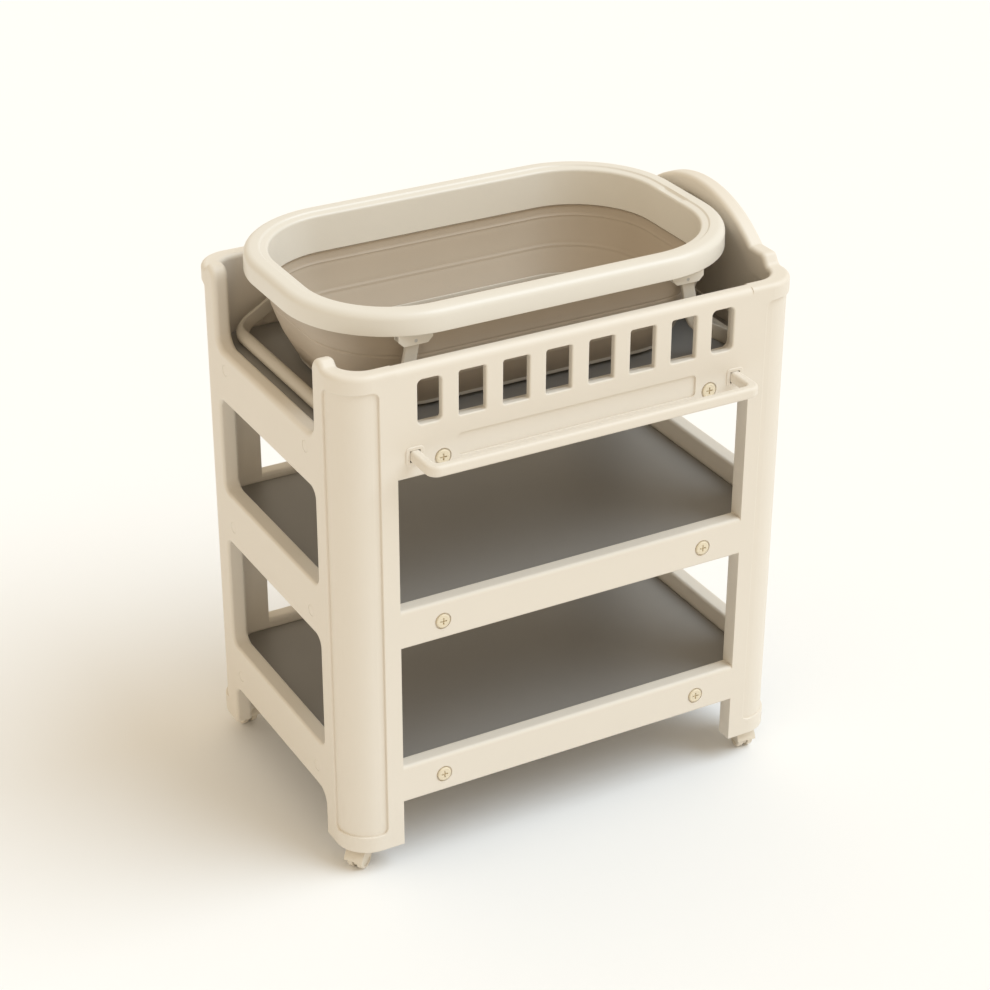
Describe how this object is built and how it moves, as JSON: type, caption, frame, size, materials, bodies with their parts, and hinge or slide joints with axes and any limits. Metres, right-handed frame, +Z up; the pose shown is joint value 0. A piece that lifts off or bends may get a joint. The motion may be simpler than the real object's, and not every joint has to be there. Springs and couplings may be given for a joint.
{
  "type": "changing table",
  "caption": "Rolling changing table with moulded end frames, two open shelves, guarded top deck, towel bar and a folding baby bath.",
  "frame": {"origin": "on the floor, in the middle of the footprint", "axes": "+Z up, +X towards the high arched end, -Y towards the side with the towel bar"},
  "size_m": [0.86, 0.647, 1.019],
  "materials": {
    "cream_plastic": "fine pebbled satin",
    "shelf_plastic": "fine pebbled matt",
    "bath_plastic": "smooth satin",
    "bath_skin": "soft satin",
    "plug_rubber": "soft matt",
    "wheel_plastic": "smooth",
    "caster_plastic": "smooth",
    "bolt_plastic": "smooth",
    "leg_plastic": "smooth satin",
    "steel": "zinc plated"
  },
  "bodies": {
    "table": {"bottom_front_rail": "cream_plastic", "bottom_rear_rail": "cream_plastic", "bottom_tray": "shelf_plastic", "deck_tray": "shelf_plastic", "front_guard": "cream_plastic", "front_guard_bolts": "bolt_plastic", "front_left_caster_sleeve": "caster_plastic", "front_rail_bolts": "bolt_plastic", "front_right_caster_sleeve": "caster_plastic", "left_end_frame": "cream_plastic", "left_side_bolts": "steel", "left_side_caps": "cream_plastic", "middle_front_rail": "cream_plastic", "middle_rear_rail": "cream_plastic", "middle_tray": "shelf_plastic", "rear_guard": "cream_plastic", "rear_guard_bolts": "bolt_plastic", "rear_left_caster_sleeve": "caster_plastic", "rear_rail_bolts": "bolt_plastic", "rear_right_caster_sleeve": "caster_plastic", "right_end_frame": "cream_plastic", "right_side_bolts": "steel", "right_side_caps": "cream_plastic", "shelf_thread_sleeves": "steel", "towel_bar": "cream_plastic", "towel_bar_sockets": "cream_plastic"},
    "tub": {"leg_brackets": "bath_plastic", "leg_hinge_pins": "steel", "tub_body": "bath_skin", "tub_rim": "bath_plastic"},
    "tub_floor": {"tub_base": "bath_plastic"},
    "drain_plug": {"drain_plug": "plug_rubber"},
    "left_leg": {"left_leg_frame": "leg_plastic"},
    "right_leg": {"right_leg_frame": "leg_plastic"},
    "front_left_caster": {"front_left_caster_stem": "steel", "front_left_caster_housing": "caster_plastic", "front_left_caster_axle": "steel"},
    "front_left_wheels": {"front_left_caster_wheels": "wheel_plastic"},
    "front_right_caster": {"front_right_caster_stem": "steel", "front_right_caster_housing": "caster_plastic", "front_right_caster_axle": "steel"},
    "front_right_wheels": {"front_right_caster_wheels": "wheel_plastic"},
    "rear_left_caster": {"rear_left_caster_stem": "steel", "rear_left_caster_housing": "caster_plastic", "rear_left_caster_axle": "steel"},
    "rear_left_wheels": {"rear_left_caster_wheels": "wheel_plastic"},
    "rear_right_caster": {"rear_right_caster_stem": "steel", "rear_right_caster_housing": "caster_plastic", "rear_right_caster_axle": "steel"},
    "rear_right_wheels": {"rear_right_caster_wheels": "wheel_plastic"}
  },
  "joints": [
    {"name": "tub_lift", "type": "slide", "parent": "table", "child": "tub", "axis": [0, 0, 1], "range_m": [0, 0.3]},
    {"name": "tub_collapse", "type": "slide", "parent": "tub", "child": "tub_floor", "axis": [0, 0, 1], "range_m": [0, 0.127], "deforming": ["tub_body"]},
    {"name": "left_leg_fold", "type": "hinge", "parent": "tub", "child": "left_leg", "pos_m": [-0.264, 0.038, 0.948], "axis": [0, 1, 0], "range_deg": [-116.2, 0]},
    {"name": "right_leg_fold", "type": "hinge", "parent": "tub", "child": "right_leg", "pos_m": [0.24, 0.038, 0.948], "axis": [0, 1, 0], "range_deg": [0, 116.2]},
    {"name": "drain_plug_pull", "type": "slide", "parent": "tub_floor", "child": "drain_plug", "axis": [0, 0, 1], "range_m": [0, 0.035]},
    {"name": "front_left_swivel", "type": "hinge", "parent": "table", "child": "front_left_caster", "pos_m": [-0.385, -0.2055, 0.05], "axis": [0, 0, 1], "continuous": true},
    {"name": "front_left_roll", "type": "hinge", "parent": "front_left_caster", "child": "front_left_wheels", "pos_m": [-0.39729, -0.2141, 0.018], "axis": [0.5736, -0.8192, 0], "continuous": true},
    {"name": "front_right_swivel", "type": "hinge", "parent": "table", "child": "front_right_caster", "pos_m": [0.385, -0.2055, 0.05], "axis": [0, 0, 1], "continuous": true},
    {"name": "front_right_roll", "type": "hinge", "parent": "front_right_caster", "child": "front_right_wheels", "pos_m": [0.38291, -0.22035, 0.018], "axis": [0.9903, -0.1392, 0], "continuous": true},
    {"name": "rear_left_swivel", "type": "hinge", "parent": "table", "child": "rear_left_caster", "pos_m": [-0.385, 0.2735, 0.05], "axis": [0, 0, 1], "continuous": true},
    {"name": "rear_left_roll", "type": "hinge", "parent": "rear_left_caster", "child": "rear_left_wheels", "pos_m": [-0.38631, 0.28844, 0.018], "axis": [-0.9962, -0.0872, 0], "continuous": true},
    {"name": "rear_right_swivel", "type": "hinge", "parent": "table", "child": "rear_right_caster", "pos_m": [0.385, 0.2735, 0.05], "axis": [0, 0, 1], "continuous": true},
    {"name": "rear_right_roll", "type": "hinge", "parent": "rear_right_caster", "child": "rear_right_wheels", "pos_m": [0.39649, 0.28314, 0.018], "axis": [-0.6428, 0.766, 0], "continuous": true}
  ],
  "couplings": [
    {"joint": "tub_collapse", "follows": "tub_lift", "ratio": 0.4233},
    {"joint": "left_leg_fold", "follows": "tub_lift", "rad_per_m": -6.754},
    {"joint": "right_leg_fold", "follows": "tub_lift", "rad_per_m": 6.754}
  ]
}
